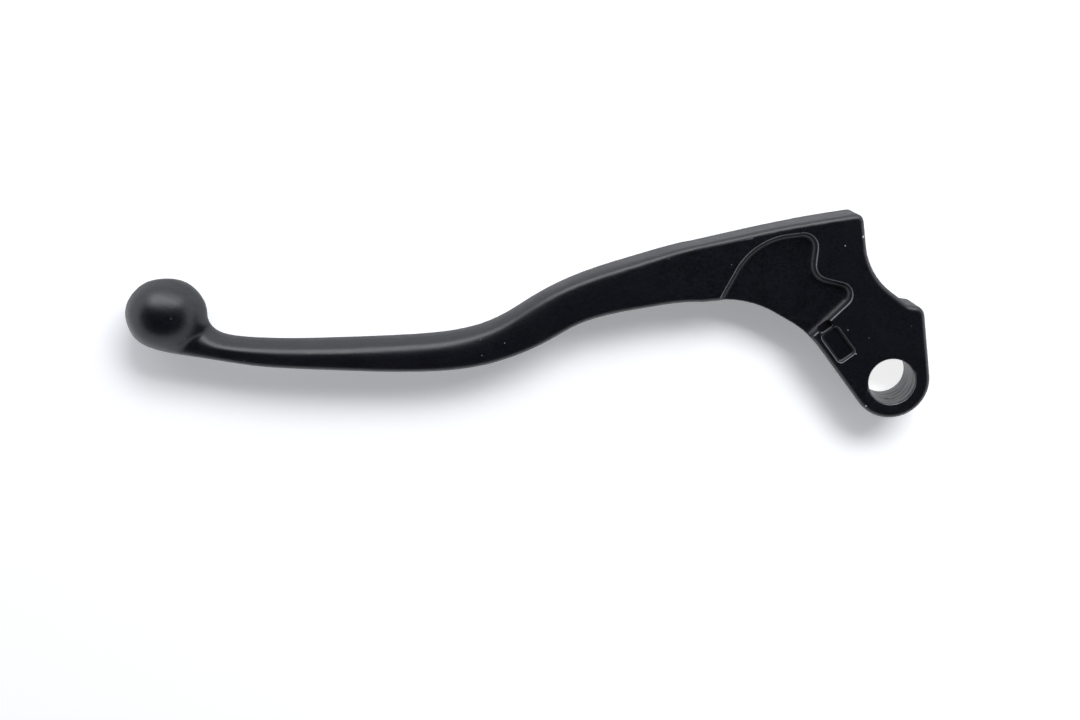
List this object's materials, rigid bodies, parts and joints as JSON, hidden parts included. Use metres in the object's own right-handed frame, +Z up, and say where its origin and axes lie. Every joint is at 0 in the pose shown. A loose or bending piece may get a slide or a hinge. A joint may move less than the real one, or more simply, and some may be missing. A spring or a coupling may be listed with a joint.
{
  "type": "motorcycle clutch lever",
  "caption": "Cast hand lever with a flat pivot lug, a scalloped recess, an S-bent blade and a ball end; it turns on a pivot bolt and pulls a clutch cable.",
  "frame": {"origin": "on the pivot bore's axis, halfway through the lug", "axes": "+X inboard along the handlebar, away from the ball end; +Y forward, away from the handlebar; +Z up along the pivot bore's axis"},
  "size_m": [0.1727, 0.0443, 0.0156],
  "materials": {
    "paint": "satin black paint on die-cast aluminium"
  },
  "bodies": {
    "root": {"clutch_lever": "paint"}
  },
  "joints": []
}
